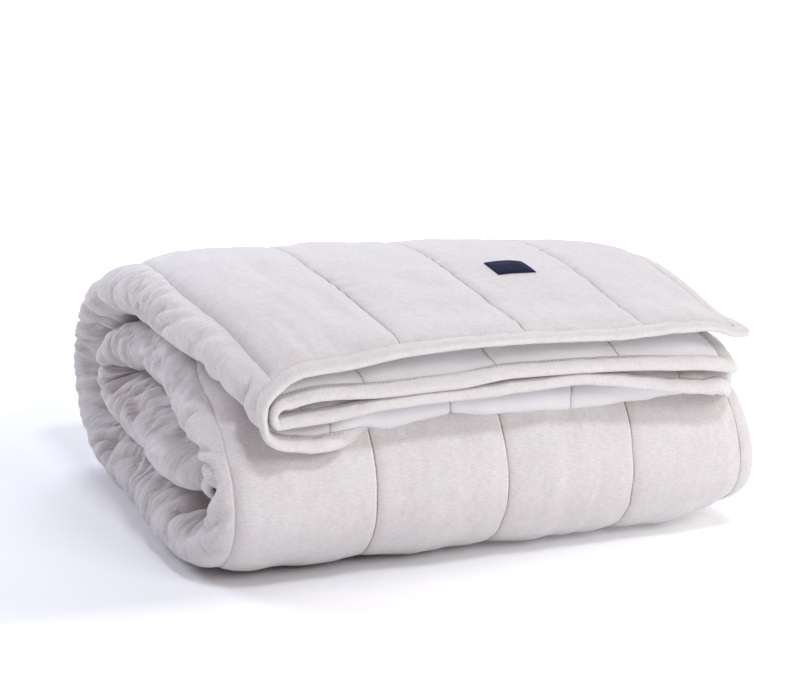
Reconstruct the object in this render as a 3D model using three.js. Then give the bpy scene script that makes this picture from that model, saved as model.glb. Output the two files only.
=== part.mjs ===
// A quilted comforter, folded in four across its channels and then rolled flat into four levels.
// Millimetres, +Z up. X runs along the front fold to the right, Y to the back.
import * as THREE from 'three';

// The open comforter: sewn channels side by side, all of one width.
const CHANNEL = 136.5;
const CHANNELS = 16;
const CLOTH_WIDTH = CHANNEL * CHANNELS;
const SEAM_THICKNESS = 4.5;
const CROWN_THICKNESS = 12.2;

// The bound edge: a strip folded round the rim of the quilt.
const BINDING_WIDTH = 16;
const BINDING_THICKNESS = 6;
const PIECE_GAP = 0.8;
const QUILT_MARGIN = BINDING_WIDTH + PIECE_GAP;

// The folded strip: four layers, LAYER apart from middle to middle.
const LAYER = 15;
const STRIP = 4 * LAYER;
const LEVEL_GAP = 5;

// Heights of the strip's middle at its four levels, bottom to top.
const LEVEL = [0, 1, 2, 3].map((i) => STRIP / 2 + i * (STRIP + LEVEL_GAP));
const BACK_RADIUS = (LEVEL[3] - LEVEL[0]) / 2;
const FRONT_RADIUS = (LEVEL[2] - LEVEL[0]) / 2;
const INNER_RADIUS = (LEVEL[2] - LEVEL[1]) / 2;
const FRONT_CENTRE = FRONT_RADIUS + STRIP / 2;
const BACK_CENTRE = 358;
const HEM_OVERHANG = 14;
const INNER_END = 82;

// The way of the strip from the hem on top to the end hidden inside: lengths and turns.
const way = [
  { length: HEM_OVERHANG + BACK_CENTRE, turn: 0 },
  { length: Math.PI * BACK_RADIUS, turn: -Math.PI },
  { length: BACK_CENTRE - FRONT_CENTRE, turn: 0 },
  { length: Math.PI * FRONT_RADIUS, turn: -Math.PI },
  { length: BACK_CENTRE - FRONT_CENTRE, turn: 0 },
  { length: Math.PI * INNER_RADIUS, turn: -Math.PI },
  { length: BACK_CENTRE - INNER_END, turn: 0 },
];
const knot = way.reduce((list, leg) => [...list, list[list.length - 1] + leg.length], [0]);
const CLOTH_LENGTH = knot[7];
const BACK_BEND = (knot[1] + knot[2]) / 2;
const FRONT_FOLD = (knot[3] + knot[4]) / 2;
const INNER_BEND = (knot[5] + knot[6]) / 2;

// Offsets of the four layers from the strip's middle, in the strip and at the gaping front hem.
const layers = [
  { name: 'outer top', inside: 1.5 * LAYER, hem: 29 },
  { name: 'outer bottom', inside: -1.5 * LAYER, hem: -56 },
  { name: 'inner bottom', inside: -0.5 * LAYER, hem: -20 },
  { name: 'inner top', inside: 0.5 * LAYER, hem: -4 },
];
const HEM_GAPE = 90;

// How far the closed left end stands out past the start of its turn, along the strip.
const reachRows = [
  { at: 0, value: 28 },
  { at: 200, value: 43 },
  { at: BACK_BEND, value: 80 },
  { at: knot[3] - 30, value: 57 },
  { at: FRONT_FOLD, value: 28 },
  { at: knot[5] - 100, value: 48 },
  { at: INNER_BEND, value: 74 },
  { at: CLOTH_LENGTH, value: 60 },
];
const INNER_REACH_LESS = 42;
const INNER_REACH_LEAST = 7.5;

// How much the cloth is gathered across its channels, along the strip.
const gatherRows = [
  { at: 0, value: 0.94 },
  { at: 250, value: 1 },
  { at: knot[4], value: 1 },
  { at: knot[4] + 120, value: 0.975 },
  { at: CLOTH_LENGTH, value: 0.985 },
];
const innerGatherRows = [{ at: 0, value: 0.97 }, ...gatherRows.slice(1)];

// The turns of the section: the closed ones start near the fourth seam, the right one near the ninth.
const CLOSED_SEAM = 4 * CHANNEL;
const BOW_INSET = 16;
const INNER_SEAM_INSET = 9;
const RIGHT_FOLD_AT = 8.41 * CHANNEL;
const RIGHT_FOLD_REACH = 7.5;
const RIGHT_FOLD_HALF = 12;
const INNER_TURN_AT = 12.3 * CHANNEL;
const INNER_TURN_STEPS = 12;
const FOLLOW_NEAR = 0.5 * CHANNEL;
const FOLLOW_FAR = 1.3 * CHANNEL;

// Where the cloth is pressed thinner, as it turns: middles, half widths and the share left.
const turns = [
  { middle: 4.4 * CHANNEL, half: 90, share: 0.66 },
  { middle: RIGHT_FOLD_AT, half: 60, share: 0.6 },
  { middle: INNER_TURN_AT, half: 90, share: 0.62 },
];

// The settled shape: heights across the depth, sag to the sides, the deeper left end and a slight skew.
const HEM_SCALE = 0.934;
const DOME_SCALE = 1.108;
const DOME_AT = 250;
const DOME_POWER = 1.6;
const BACK_FALL = 3e-6;
const MIDDLE_X = -300;
const SAG_HALF = 270;
const SIDE_SAG = 0.049;
const FRONT_SAG = 0.035;
const FRONT_SAG_DEPTH = 280;
const DEPTH_RIGHT = 0.95;
const DEPTH_GAIN = 0.24 / 600;
const DEPTH_WIDTH = 660;
const SKEW = 0.018;
const REST_SINK = 3;

// The label, a thin woven patch on the outer top layer, across the crown of its channel.
const LABEL_CROWN = 1.5 * CHANNEL;
const LABEL_ACROSS = [-16, 27];
const LABEL_ALONG = [156, 190];
const LABEL_ROW_MARGIN = 18;
const LABEL_LIFT = 0.35;
const LABEL_THICKNESS = 1;

function ease(from, to, x) {
  const t = Math.min(1, Math.max(0, (x - from) / (to - from)));
  return t * t * (3 - 2 * t);
}

// Value between the rows on both sides of x, eased from one to the next.
function between(rows, x) {
  let i = 0;
  while (i < rows.length - 2 && x > rows[i + 1].at) i += 1;
  const share = ease(rows[i].at, rows[i + 1].at, x);
  return rows[i].value + (rows[i + 1].value - rows[i].value) * share;
}

// Middle of the strip at a distance s from the front hem: y, z and heading.
function wayPoint(s) {
  let y = -HEM_OVERHANG;
  let z = LEVEL[3];
  let heading = 0;
  let rest = s;
  for (const { length, turn } of way) {
    const run = Math.min(rest, length);
    const next = heading + (turn * run) / length;
    if (turn === 0) {
      y += run * Math.cos(heading);
      z += run * Math.sin(heading);
    } else {
      const radius = length / turn;
      y += radius * (Math.sin(next) - Math.sin(heading));
      z += radius * (Math.cos(heading) - Math.cos(next));
    }
    heading = next;
    rest -= run;
    if (rest <= 0) break;
  }
  return { y, z, heading };
}

// Half an ellipse between two layers, standing out from fromX to one side.
function bow(fromN, toN, fromX, reach, side, steps) {
  const points = [];
  for (let i = 0; i <= steps; i += 1) {
    const a = (Math.PI * i) / steps;
    const n = (fromN + toN) / 2 + ((fromN - toN) / 2) * Math.cos(a);
    points.push({ x: fromX + side * reach * Math.sin(a), n });
  }
  return points;
}

function lengthOf(points) {
  let length = 0;
  for (let i = 1; i < points.length; i += 1) {
    length += Math.hypot(points[i].x - points[i - 1].x, points[i].n - points[i - 1].n);
  }
  return length;
}

// The folded section at s: a line through the middles of the four layers, with its running length.
function sectionLine(s) {
  const gape = 1 - ease(0, HEM_GAPE, s);
  const [n1, n2, n3, n4] = layers.map((row) => row.inside + (row.hem - row.inside) * gape);
  const gather = between(gatherRows, s);
  const innerGather = between(innerGatherRows, s);
  const reach = between(reachRows, s);
  const innerReach = Math.max(reach - INNER_REACH_LESS, INNER_REACH_LEAST);
  const seamX = -CLOSED_SEAM * gather;
  const outerBow = bow(n1, n2, seamX + BOW_INSET, reach, -1, 24);
  const outerBottom = (RIGHT_FOLD_AT - CLOSED_SEAM) * gather + BOW_INSET - lengthOf(outerBow) - RIGHT_FOLD_HALF;
  const foldX = seamX + BOW_INSET + outerBottom;
  const innerX = seamX + INNER_SEAM_INSET;
  const innerBend = (n4 - n3) / 2;
  const bowX = innerX - Math.max(0, innerReach - innerBend);
  const innerBow = bow(n3, n4, bowX, Math.min(innerReach, innerBend), -1, INNER_TURN_STEPS);
  const line = [
    { x: 0, n: n1 },
    ...outerBow,
    ...bow(n2, n3, foldX, RIGHT_FOLD_REACH, 1, 10),
    ...innerBow,
    { x: innerX + CLOTH_WIDTH / 2, n: n4 },
  ];
  let length = 0;
  line[0].at = 0;
  for (let i = 1; i < line.length; i += 1) {
    length += lengthOf([line[i - 1], line[i]]);
    const inner = length - RIGHT_FOLD_AT * gather;
    line[i].at = inner < 0 ? length / gather : RIGHT_FOLD_AT + inner / innerGather;
  }
  line.innerTurn = innerBow[INNER_TURN_STEPS / 2].at;
  return line;
}

// Point of the section line at cloth width w, with the unit normal that faces outward on top.
function onSection(line, w) {
  const find = (at) => {
    let i = 1;
    while (i < line.length - 1 && line[i].at < at) i += 1;
    const share = (at - line[i - 1].at) / (line[i].at - line[i - 1].at);
    return {
      x: line[i - 1].x + (line[i].x - line[i - 1].x) * share,
      n: line[i - 1].n + (line[i].n - line[i - 1].n) * share,
    };
  };
  const before = find(w - 4);
  const after = find(w + 4);
  const span = Math.hypot(after.x - before.x, after.n - before.n);
  return { ...find(w), nx: (after.n - before.n) / span, nn: (before.x - after.x) / span };
}

// Thickness of the filled cloth: a crown in each channel, thin at the seams and near the rim.
function quiltThickness(s, w) {
  const f = (w / CHANNEL) % 1;
  let channel = Math.max(0, 1 - Math.abs(2 * f - 1) ** 2.6) ** 0.6;
  for (const { middle, half, share } of turns) {
    channel *= 1 - (1 - share) * (1 - ease(half / 2, half, Math.abs(w - middle)));
  }
  const rim = (d) => {
    const t = Math.min(1, Math.max(0, (d - QUILT_MARGIN) / 45));
    return (1 - (1 - t) ** 2.4) ** 0.6;
  };
  const ends = rim(Math.min(s, CLOTH_LENGTH - s)) * rim(Math.min(w, CLOTH_WIDTH - w));
  return SEAM_THICKNESS + (CROWN_THICKNESS - SEAM_THICKNESS) * channel * ends;
}

// The settled shape of a point of the true roll, cut flat where it lies on the floor.
function settle(x, y, z) {
  const before = DOME_AT - y;
  const front = (DOME_SCALE - HEM_SCALE) * (Math.abs(before) / DOME_AT) ** DOME_POWER;
  const fall = before > 0 ? front : BACK_FALL * before ** 2;
  const side = Math.min(1.5, Math.abs(x - MIDDLE_X) / SAG_HALF) ** 4;
  const sag = (SIDE_SAG + FRONT_SAG * (1 - ease(0, FRONT_SAG_DEPTH, y))) * side;
  const depth = DEPTH_RIGHT + DEPTH_GAIN * Math.min(DEPTH_WIDTH, Math.max(0, -x));
  const height = z * (DOME_SCALE - fall) * (1 - sag) - REST_SINK;
  return new THREE.Vector3(x + SKEW * y, y * depth, Math.max(0, height));
}

// A point of the folded cloth, offset to one side of its middle by d.
function clothPoint(s, w, d) {
  const { y, z, heading } = wayPoint(s);
  const { x, n, nx, nn } = onSection(sectionLine(s), w);
  const across = n + nn * d;
  return settle(x + nx * d, y - across * Math.sin(heading), z + across * Math.cos(heading));
}

// The inner closed turn lies at another place across the cloth from one station to the next, and
// the columns near it follow it, so that its facets stay in line.
function followTurn(s, w) {
  const far = ease(FOLLOW_NEAR, FOLLOW_FAR, Math.abs(w - INNER_TURN_AT));
  return w + (sectionLine(s).innerTurn - INNER_TURN_AT) * (1 - far);
}

// A closed slab over a grid of points: two faces and the strips that join them round the rim.
function slabGeometry(stations, columns, upper, lower) {
  const rows = stations.length;
  const cols = columns.length;
  const positions = [];
  for (const face of [upper, lower]) {
    for (const s of stations) for (const w of columns) positions.push(...face(s, w).toArray());
  }
  const top = (i, j) => i * cols + j;
  const under = (i, j) => rows * cols + i * cols + j;
  const index = [];
  const quad = (a, b, c, d) => index.push(a, b, c, a, c, d);
  for (let i = 0; i < rows - 1; i += 1) {
    for (let j = 0; j < cols - 1; j += 1) {
      quad(top(i, j), top(i + 1, j), top(i + 1, j + 1), top(i, j + 1));
      quad(under(i, j), under(i, j + 1), under(i + 1, j + 1), under(i + 1, j));
    }
  }
  for (let i = 0; i < rows - 1; i += 1) {
    quad(top(i, 0), under(i, 0), under(i + 1, 0), top(i + 1, 0));
    quad(top(i, cols - 1), top(i + 1, cols - 1), under(i + 1, cols - 1), under(i, cols - 1));
  }
  for (let j = 0; j < cols - 1; j += 1) {
    quad(top(0, j), top(0, j + 1), under(0, j + 1), under(0, j));
    quad(top(rows - 1, j), under(rows - 1, j), under(rows - 1, j + 1), top(rows - 1, j + 1));
  }
  return indexed(positions, index);
}

function indexed(positions, index) {
  const geometry = new THREE.BufferGeometry();
  geometry.setAttribute('position', new THREE.Float32BufferAttribute(positions, 3));
  geometry.setIndex(index);
  geometry.computeVertexNormals();
  return geometry;
}

function evenly(from, to, steps) {
  return Array.from({ length: steps + 1 }, (_, i) => from + ((to - from) * i) / steps);
}

// Stations along the strip: close together at the gaping hem and round the bends, and one row
// of facets that is wide enough for the label.
function stationsBetween(first, last) {
  return [
    ...evenly(first, HEM_GAPE, 4),
    LABEL_ALONG[0] - LABEL_ROW_MARGIN,
    ...evenly(LABEL_ALONG[1] + LABEL_ROW_MARGIN, knot[1], 2),
    ...evenly(knot[1], knot[2], 8).slice(1),
    ...evenly(knot[2], knot[3], 4).slice(1),
    ...evenly(knot[3], knot[4], 7).slice(1),
    ...evenly(knot[4], knot[5], 4).slice(1),
    ...evenly(knot[5], knot[6], 5).slice(1),
    ...evenly(knot[6], last, 4).slice(1),
  ];
}

// Columns across the cloth: each seam and the crown between two seams, closer in the bows.
function columnsBetween(first, last) {
  const inside = [0.24, 0.56, 0.88];
  for (let k = 1; k < 4; k += 1) inside.push(k, k + 0.12, k + 0.5, k + 0.88);
  inside.push(...evenly(4, 4.88, 8), ...evenly(5.1, 8, 6), ...evenly(8.28, 8.54, 6));
  inside.push(...evenly(9, 11.5, 5), ...evenly(11.8, 12.7, 11), ...evenly(13, 15.5, 5), 15.8);
  return [first, ...inside.map((k) => k * CHANNEL), last];
}

// The quilt: one filled slab, folded and rolled.
const quiltStations = stationsBetween(QUILT_MARGIN, CLOTH_LENGTH - QUILT_MARGIN);
const quiltColumns = columnsBetween(QUILT_MARGIN, CLOTH_WIDTH - QUILT_MARGIN);
const quiltFace = (side) => (s, column) => {
  const w = followTurn(s, column);
  return clothPoint(s, w, (side * quiltThickness(s, w)) / 2);
};
const upperFace = quiltFace(1);
const lowerFace = quiltFace(-1);
const quiltGeometry = slabGeometry(quiltStations, quiltColumns, upperFace, lowerFace);

// The binding: one closed ring round all four edges, six points to a section, mitred corners.
function bindingGeometry() {
  const rim = [
    ...quiltColumns.slice(1, -1).map((w) => ({ w, ds: 1, dw: 0, s: 0 })),
    { s: 0, w: CLOTH_WIDTH, ds: 1, dw: -1 },
    ...quiltStations.slice(1, -1).map((s) => ({ s, ds: 0, dw: -1, w: CLOTH_WIDTH })),
    { s: CLOTH_LENGTH, w: CLOTH_WIDTH, ds: -1, dw: -1 },
    ...quiltColumns.slice(1, -1).reverse().map((w) => ({ w, ds: -1, dw: 0, s: CLOTH_LENGTH })),
    { s: CLOTH_LENGTH, w: 0, ds: -1, dw: 1 },
    ...quiltStations.slice(1, -1).reverse().map((s) => ({ s, ds: 0, dw: 1, w: 0 })),
    { s: 0, w: 0, ds: 1, dw: 1 },
  ];
  const half = BINDING_THICKNESS / 2;
  const profile = [
    { inward: BINDING_WIDTH, d: half },
    { inward: 4, d: half },
    { inward: 0, d: half / 3 },
    { inward: 0, d: -half / 3 },
    { inward: 4, d: -half },
    { inward: BINDING_WIDTH, d: -half },
  ];
  const positions = [];
  for (const { s, w, ds, dw } of rim) {
    for (const { inward, d } of profile) {
      const station = s + ds * inward;
      positions.push(...clothPoint(station, followTurn(station, w + dw * inward), d).toArray());
    }
  }
  const index = [];
  const n = profile.length;
  for (let i = 0; i < rim.length; i += 1) {
    const next = (i + 1) % rim.length;
    for (let j = 0; j < n; j += 1) {
      const k = (j + 1) % n;
      const [a, b, c, d] = [i * n + j, next * n + j, next * n + k, i * n + k];
      index.push(a, b, c, a, c, d);
    }
  }
  return indexed(positions, index);
}

// Point on the quilt's own facet at (s, w), lifted straight up.
function overFacet(s, w, lift) {
  const i = quiltStations.findIndex((at) => at > s) - 1;
  const j = quiltColumns.findIndex((at) => at > w) - 1;
  const u = (s - quiltStations[i]) / (quiltStations[i + 1] - quiltStations[i]);
  const v = (w - quiltColumns[j]) / (quiltColumns[j + 1] - quiltColumns[j]);
  const corner = (di, dj) => upperFace(quiltStations[i + di], quiltColumns[j + dj]);
  const [near, far] = [corner(0, 0), corner(1, 1)];
  const bend = u >= v ? corner(1, 0) : corner(0, 1);
  const [first, second] = u >= v ? [u, v] : [v, u];
  const point = near.clone().addScaledVector(bend.clone().sub(near), first);
  point.addScaledVector(far.sub(bend), second);
  point.z += lift;
  return point;
}

// The label lies close on the crown's two slopes.
const labelColumns = [LABEL_ACROSS[0], 0, LABEL_ACROSS[1]].map((d) => LABEL_CROWN + d);
const labelGeometry = slabGeometry(
  evenly(...LABEL_ALONG, 2),
  labelColumns,
  (s, w) => overFacet(s, w, LABEL_LIFT + LABEL_THICKNESS),
  (s, w) => overFacet(s, w, LABEL_LIFT),
);

const pieces = {
  quilt: { geometry: quiltGeometry, color: 0xdcd6d2, roughness: 0.95 },
  binding: { geometry: bindingGeometry(), color: 0xd9d0ca, roughness: 0.95 },
  label: { geometry: labelGeometry, color: 0x20243c, roughness: 0.7 },
};

// The origin lies under the middle of the whole, on the floor.
const bounds = new THREE.Box3();
for (const { geometry } of Object.values(pieces)) {
  geometry.computeBoundingBox();
  bounds.union(geometry.boundingBox);
}
const centre = bounds.getCenter(new THREE.Vector3());
const comforter = new THREE.Group();
for (const [name, { geometry, color, roughness }] of Object.entries(pieces)) {
  const material = new THREE.MeshStandardMaterial({ color, roughness, metalness: 0 });
  const mesh = new THREE.Mesh(geometry, material);
  mesh.name = name;
  mesh.position.set(-centre.x, -centre.y, 0);
  comforter.add(mesh);
}

export default comforter;
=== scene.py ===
import bpy
import numpy as np
from mathutils import Matrix, Vector


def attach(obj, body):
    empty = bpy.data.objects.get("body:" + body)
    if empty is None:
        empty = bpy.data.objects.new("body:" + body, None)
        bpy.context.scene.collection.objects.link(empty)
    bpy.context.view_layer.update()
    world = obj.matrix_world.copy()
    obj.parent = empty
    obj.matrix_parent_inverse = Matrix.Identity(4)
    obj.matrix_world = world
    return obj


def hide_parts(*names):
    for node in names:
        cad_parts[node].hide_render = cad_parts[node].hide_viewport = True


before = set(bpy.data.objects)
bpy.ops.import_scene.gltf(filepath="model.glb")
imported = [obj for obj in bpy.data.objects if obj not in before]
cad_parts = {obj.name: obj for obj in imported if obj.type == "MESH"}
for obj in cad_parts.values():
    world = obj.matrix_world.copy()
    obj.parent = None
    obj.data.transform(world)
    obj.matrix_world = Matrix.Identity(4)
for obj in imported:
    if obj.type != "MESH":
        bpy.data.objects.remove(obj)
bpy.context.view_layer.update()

# Quilt. Two faces of cloth with filling between them, sewn together in straight channels.
# The face is a short heathered velvet, the reverse a smooth near-white cloth.
# It is folded in half twice across the channels and then rolled flat from the hidden end.
# Lengths are in metres. On the cloth, s runs along the channels from the hem on top to the
# hidden end, and w across them from the right edge of the outermost layer.
CHANNEL = 0.1365
CHANNELS = 16
CLOTH_WIDTH = CHANNEL * CHANNELS
LAYER = 0.015
STRIP = 4 * LAYER
LEVEL_GAP = 0.005
LEVELS = [STRIP / 2 + i * (STRIP + LEVEL_GAP) for i in range(4)]
BACK_RADIUS = (LEVELS[3] - LEVELS[0]) / 2
FRONT_RADIUS = (LEVELS[2] - LEVELS[0]) / 2
INNER_RADIUS = (LEVELS[2] - LEVELS[1]) / 2
FRONT_CENTRE = FRONT_RADIUS + STRIP / 2
BACK_CENTRE = 0.358
HEM_OVERHANG = 0.014
INNER_END = 0.067
# The roll's path from the hem inwards: the length of each run and how far it turns.
WAY = np.array([
    (HEM_OVERHANG + BACK_CENTRE, 0.0),
    (np.pi * BACK_RADIUS, -np.pi),
    (BACK_CENTRE - FRONT_CENTRE, 0.0),
    (np.pi * FRONT_RADIUS, -np.pi),
    (BACK_CENTRE - FRONT_CENTRE, 0.0),
    (np.pi * INNER_RADIUS, -np.pi),
    (BACK_CENTRE - INNER_END, 0.0),
])
KNOTS = np.concatenate([[0.0], np.cumsum(WAY[:, 0])])
CLOTH_LENGTH = KNOTS[-1]
BACK_BEND, FRONT_FOLD, INNER_BEND = (KNOTS[1:6:2] + KNOTS[2:7:2]) / 2
# The place before the roll is moved to the origin of its middle.
CENTRE = np.array([-0.29785, 0.27420])
SEAM_THICKNESS = 0.0024
CROWN_THICKNESS = 0.0128
BAND = 0.0168
QUILT_RIM = 0.007


def ease(start, end, x):
    """0 before start, 1 after end, and the smooth cubic 3t^2 - 2t^3 between them."""
    t = np.clip((x - start) / (end - start), 0, 1)
    return t * t * (3 - 2 * t)


def between(rows, x):
    """Value at x of a table of (place, value) rows, eased from each row to the next."""
    places, values = np.array(rows).T
    i = np.clip(np.searchsorted(places, x) - 1, 0, len(places) - 2)
    return values[i] + (values[i + 1] - values[i]) * ease(places[i], places[i + 1], x)


def noise(u, v, seed):
    """Smooth noise from -1 to 1: random values on a unit lattice, eased between its corners."""
    lattice = np.random.default_rng(seed).uniform(-1, 1, (64, 64))
    u, v = np.broadcast_arrays(u, v)
    i, j = np.floor(u).astype(int), np.floor(v).astype(int)
    a, b = u - i, v - j
    a, b = a ** 3 * (a * (6 * a - 15) + 10), b ** 3 * (b * (6 * b - 15) + 10)
    corner = lambda di, dj: lattice[(i + di) % 64, (j + dj) % 64]
    near = corner(0, 0) * (1 - a) + corner(1, 0) * a
    far = corner(0, 1) * (1 - a) + corner(1, 1) * a
    return near * (1 - b) + far * b


def way_point(s):
    """Middle of the strip after a distance s: straight runs joined by half circles."""
    y, z, heading = np.full_like(s, -HEM_OVERHANG), np.full_like(s, LEVELS[3]), np.zeros_like(s)
    for start, (length, turn) in zip(KNOTS, WAY):
        run = np.clip(s - start, 0, length)
        next_heading = heading + turn * run / length
        if turn:
            y = y + length / turn * (np.sin(next_heading) - np.sin(heading))
            z = z + length / turn * (np.cos(heading) - np.cos(next_heading))
        else:
            y = y + run * np.cos(heading)
            z = z + run * np.sin(heading)
        heading = next_heading
    return y, z, heading


# The section: how far in the closed end starts and where the right fold lies, how far the
# folds reach out, and how much of the cloth's length the gathers leave, by place along it.
BOW_INSET = 0.016
RIGHT_FOLD_AT = 8.41 * CHANNEL
RIGHT_FOLD_INSET = 0.012
FOLD_REACH = 0.0075
INNER_BOW_INSET = 0.009
INNER_BOW_SHORTER = 0.042
END_PINCH = 0.42
EDGE_CURL = 0.008
REACH = [(0, 0.028), (0.2, 0.043), (BACK_BEND, 0.080), (KNOTS[3] - 0.03, 0.057), (FRONT_FOLD, 0.028),
         (KNOTS[5] - 0.1, 0.048), (INNER_BEND, 0.074), (CLOTH_LENGTH - 0.10, 0.066), (CLOTH_LENGTH, 0.034)]
GATHER = [(0, 0.94), (0.25, 1), (KNOTS[4], 1), (KNOTS[4] + 0.12, 0.975), (CLOTH_LENGTH, 0.985)]
INNER_GATHER = [(0, 0.97), *GATHER[1:]]
# Height of the four layers over the strip's middle, where the hem gapes and farther in.
HEM_LEVELS = {"outer top": 0.029, "outer bottom": -0.056, "inner bottom": -0.020, "inner top": -0.004}
INSIDE_LEVELS = {"outer top": 1.5 * LAYER, "outer bottom": -1.5 * LAYER,
                 "inner bottom": -0.5 * LAYER, "inner top": 0.5 * LAYER}


def half_round(a, b):
    """Length of half an ellipse with half axes a and b, by Ramanujan's formula."""
    h = ((a - b) / (a + b)) ** 2
    return np.pi / 2 * (a + b) * (1 + 3 * h / (10 + np.sqrt(4 - 3 * h)))


def section(s, w):
    """Folded section of the strip: four straight legs joined by half ellipses.

    Returns the place x across the strip and the height n over its middle. The layers draw
    together at the hidden end, and the right edge curls in where the strip turns at the front."""
    gape, quick_gape = 1 - ease(0, 0.09, s), 1 - ease(0, 0.055, s)
    pinch = 1 - END_PINCH * ease(CLOTH_LENGTH - 0.08, CLOTH_LENGTH, s)
    n1, n2, n3, n4 = [(INSIDE_LEVELS[leg] + (HEM_LEVELS[leg] - INSIDE_LEVELS[leg]) * share) * pinch
                      for leg, share in zip(HEM_LEVELS, (gape, gape, gape, quick_gape))]
    gather, inner_gather, reach = between(GATHER, s), between(INNER_GATHER, s), between(REACH, s)
    bow_x = BOW_INSET - 4 * CHANNEL * gather
    outer_arc = half_round((n1 - n2) / 2, reach)
    fold_arc = half_round((n3 - n2) / 2, FOLD_REACH)
    fold_x = 2 * BOW_INSET - 8 * CHANNEL * gather + RIGHT_FOLD_AT * gather - outer_arc - RIGHT_FOLD_INSET
    half = (n4 - n3) / 2
    inner_reach = np.maximum(reach - INNER_BOW_SHORTER, FOLD_REACH)
    inner_x = INNER_BOW_INSET - 4 * CHANNEL * gather - np.maximum(0, inner_reach - half)
    inner_reach = np.minimum(inner_reach, half)
    inner_arc = half_round(half, inner_reach)
    beyond_fold = RIGHT_FOLD_AT * gather + (w - RIGHT_FOLD_AT) * inner_gather
    length = np.where(w < RIGHT_FOLD_AT, w * gather, beyond_fold)
    ends = np.cumsum([-bow_x, outer_arc, fold_x - bow_x, fold_arc, fold_x - inner_x, inner_arc], axis=0)
    turn = lambda i, whole: np.clip((length - ends[i]) / whole, 0, 1) * np.pi
    a1, a2, a3 = turn(0, outer_arc), turn(2, fold_arc), turn(4, inner_arc)
    conditions = [length < ends[i] for i in range(6)]
    x = np.select(conditions, [
        -length, bow_x - reach * np.sin(a1), bow_x + length - ends[1], fold_x + FOLD_REACH * np.sin(a2),
        fold_x - (length - ends[3]), inner_x - inner_reach * np.sin(a3)], inner_x + length - ends[5])
    mean = lambda a, b, angle: (a + b) / 2 + (a - b) / 2 * np.cos(angle)
    one = np.ones_like(length)
    n = np.select(conditions, [
        n1 * one, mean(n1, n2, a1), n2 * one, mean(n2, n3, a2), n3 * one, mean(n3, n4, a3)], n4 * one)
    front = ease(KNOTS[2], KNOTS[3], s) * (1 - ease(KNOTS[4], KNOTS[4] + 0.1, s))
    x = x + EDGE_CURL * np.clip(1 - w / 0.2, 0, 1) * front
    return x, n - EDGE_CURL * np.clip(1 - w / 0.036, 0, 1) ** 2 * front


DOME_AT = 0.25
DOME_HEIGHT = 1.108
FRONT_FALL = 0.174
BACK_FALL = 3.0
SAG_MIDDLE, SAG_HALF = -0.3, 0.27
SAG, FRONT_SAG = 0.049, 0.035
RIGHT_DEPTH, LEFT_DEEPER = 0.95, 0.24 / 0.6
LEAN = 0.018
SUNK = 0.003


def settle(x, y, z):
    """The roll as it lies: domed over its depth, sagging to both sides, deeper at the closed end.

    The height is scaled by the dome, which falls by a power of the distance to the front and by
    its square to the back, and by the sag, the fourth power of the distance from the middle."""
    before = DOME_AT - y
    fall = np.where(before > 0, FRONT_FALL * (np.abs(before) / DOME_AT) ** 1.6, BACK_FALL * before ** 2)
    side = np.minimum(1.5, np.abs(x - SAG_MIDDLE) / SAG_HALF) ** 4
    sag = (SAG + FRONT_SAG * (1 - ease(0, 0.28, y))) * side
    depth = RIGHT_DEPTH + LEFT_DEEPER * np.clip(-x, 0, 0.66)
    return np.stack([x + LEAN * y, y * depth, z * (DOME_HEIGHT - fall) * (1 - sag) - SUNK], -1)


def rolled_cloth(s, w):
    """Middle surface of the folded and rolled cloth, its hem straight."""
    s, w = np.broadcast_arrays(s, w)
    y, z, heading = way_point(s)
    x, n = section(s, w)
    return settle(x, y - n * np.sin(heading), z + n * np.cos(heading)) - [*CENTRE, 0]


# The hem at each place across the cloth, counted in channels: how far in its bend starts, the
# bend's curvature (1 over its radius) and the most it turns, then how far the hem is lifted and
# moved to the right. The outer bottom layer is tucked right under itself.
HEM_BEND_FROM = [(4.9, 0.034), (5.45, 0.044), (8.1, 0.044), (8.41, 0.034)]
HEM_BEND_CURVE = [(0, 4), (2.6, 5), (3.3, 13), (4.0, 15), (4.3, 8), (4.65, 8), (4.9, 14), (5.6, 108),
                  (6.3, 118), (6.8, 83), (7.5, 83), (8.0, 110), (8.3, 110), (8.75, 10), (15.6, 9), (16, 14)]
HEM_BEND_MOST = 3.0
HEM_LIFT = [(0, 0.0182), (0.25, 0.0115), (0.5, 0.0103), (0.75, 0.0062), (1, 0.0015), (1.25, -0.0015),
            (2.25, 0.0012), (3, -0.0007), (3.5, -0.0063), (3.75, -0.0063), (4, -0.013), (4.4, -0.005),
            (4.65, -0.001), (4.9, -0.005), (5.25, 0.001), (5.5, -0.0115), (5.75, -0.0065), (6, -0.0034),
            (6.25, -0.0072), (6.5, -0.0068), (6.75, -0.0044), (7, -0.0069), (7.25, -0.0042),
            (7.5, -0.0001), (8, 0.003), (8.2, 0.0076), (8.3, 0.0129), (8.41, 0.012), (8.6, 0.0005),
            (8.85, -0.0073), (9.1, -0.0073), (9.35, -0.0037), (9.6, 0.001), (9.85, 0.0044),
            (10.35, 0.0017), (10.6, -0.0006), (11.1, -0.0017), (11.35, -0.0037), (11.85, -0.0098),
            (12.3, -0.009), (12.6, -0.0056), (13.1, -0.0096), (13.6, -0.0081), (14.1, -0.0019),
            (15.35, -0.0025), (16, 0.003)]
HEM_SHIFT = [(0, -0.013), (0.5, 0), (4.1, 0), (4.4, 0.003), (4.65, 0.010), (4.95, 0.006), (5.4, 0),
             (14.4, 0), (16, -0.002)]
HEM_REACH = 0.12
RIGHT_END_LIFT = 0.014


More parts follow.
